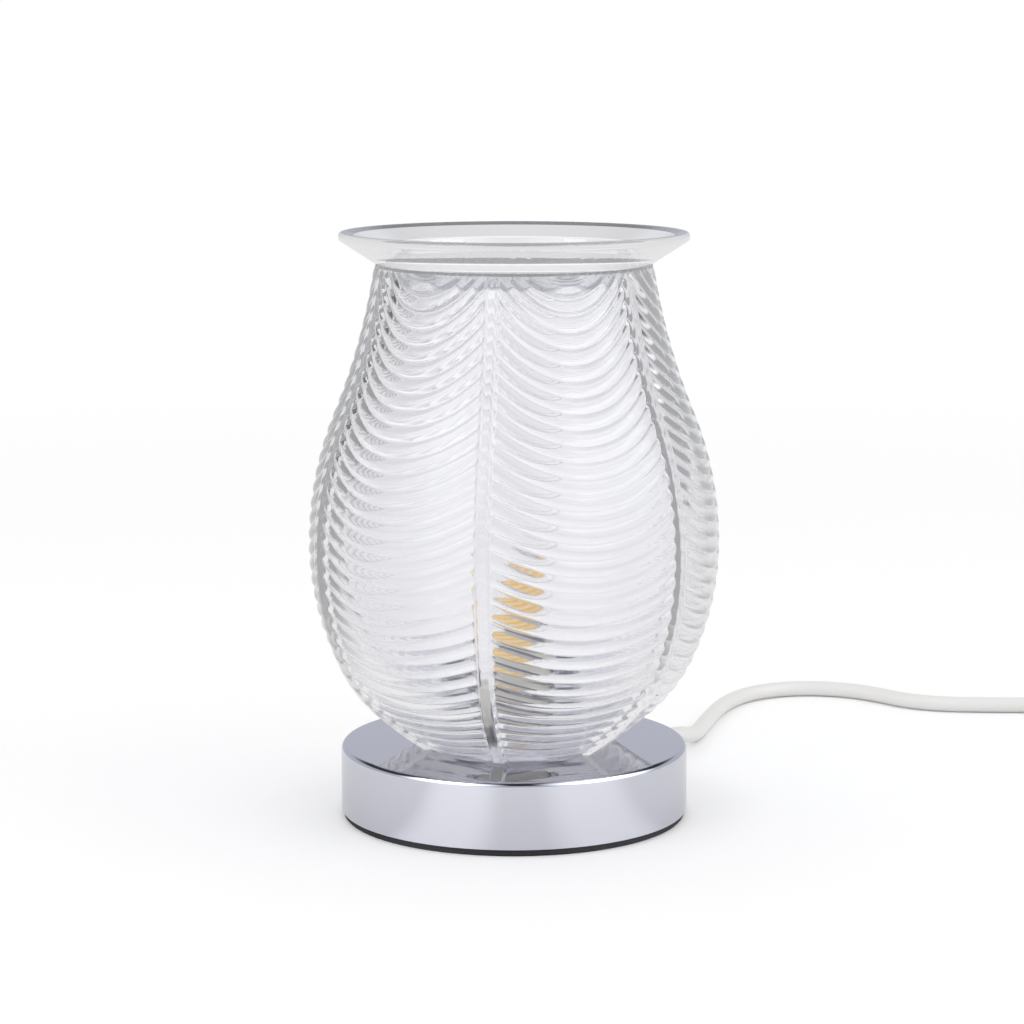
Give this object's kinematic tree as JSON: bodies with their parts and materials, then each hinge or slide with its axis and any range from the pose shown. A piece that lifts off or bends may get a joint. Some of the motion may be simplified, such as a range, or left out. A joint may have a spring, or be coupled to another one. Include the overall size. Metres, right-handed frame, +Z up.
{
  "type": "wax melt warmer",
  "caption": "Electric wax melt warmer: loose clear dish on a ribbed clear glass shade, which stands on a low chromed round base with a plug-in capsule bulb and a mains cord.",
  "frame": {"origin": "on the lamp's axis, at the underside of the base pad, which is the surface it stands on", "axes": "+Z up along the lamp's axis; the front of the picture faces -Y, +X to the right"},
  "size_m": [0.3402, 0.2289, 0.1784],
  "materials": {
    "dish_glass": "clear smooth soda-lime glass",
    "shade_glass": "clear pressed soda-lime glass with ribs",
    "chrome": "bright chrome plate on pressed steel",
    "foam_rubber": "black foam rubber, fine closed cells",
    "zinc_steel": "zinc-plated steel",
    "cast_iron": "cast iron, rough",
    "steatite": "unglazed off-white steatite",
    "brass": "spring brass",
    "bulb_clear": "clear capsule",
    "amber_phosphor": "amber phosphor coating",
    "dark_plastic": "dark grey collar",
    "black_plastic": "black moulded nylon",
    "circuit_board": "green circuit board",
    "lead_insulation": "white silicone sleeving",
    "white_pvc": "white PVC cord sheath",
    "nylon": "natural nylon",
    "white_plug": "white moulded PVC plug",
    "nickel_brass": "nickel-plated brass pins"
  },
  "bodies": {
    "base": {"base_shell": "chrome", "base_pad": "foam_rubber", "base_plate": "zinc_steel", "base_pillars": "zinc_steel", "plate_screws": "zinc_steel", "ballast_slab": "cast_iron", "shade_ring": "chrome", "holder_stem": "zinc_steel", "stem_nuts": "zinc_steel", "stem_washers": "zinc_steel", "holder_bracket": "zinc_steel", "lamp_holder": "steatite", "holder_contacts": "brass", "holder_screws": "zinc_steel", "dimmer_case": "black_plastic", "dimmer_lid": "black_plastic", "dimmer_board": "circuit_board", "dimmer_leads": "lead_insulation", "terminal_block": "steatite", "terminal_screws": "brass", "lamp_leads": "lead_insulation", "touch_lead": "lead_insulation", "cord_bush": "white_pvc", "cord_tail": "white_pvc", "cord_anchor": "nylon", "anchor_screws": "zinc_steel", "power_cord": "white_pvc", "cord_coil": "white_pvc", "plug_body": "white_plug", "plug_pins": "nickel_brass"},
    "shade": {"glass_shade": "shade_glass"},
    "dish": {"wax_dish": "dish_glass"},
    "bulb": {"bulb_cover": "bulb_clear", "bulb_core": "amber_phosphor", "bulb_collar": "dark_plastic", "bulb_pins": "zinc_steel"}
  },
  "joints": [
    {"name": "shade_lift", "type": "slide", "parent": "base", "child": "shade", "axis": [0, 0, 1], "range_m": [0, 0.12]},
    {"name": "dish_lift", "type": "slide", "parent": "shade", "child": "dish", "axis": [0, 0, 1], "range_m": [0, 0.06]},
    {"name": "bulb_pull", "type": "slide", "parent": "base", "child": "bulb", "axis": [0, 0, 1], "range_m": [0, 0.03]}
  ]
}
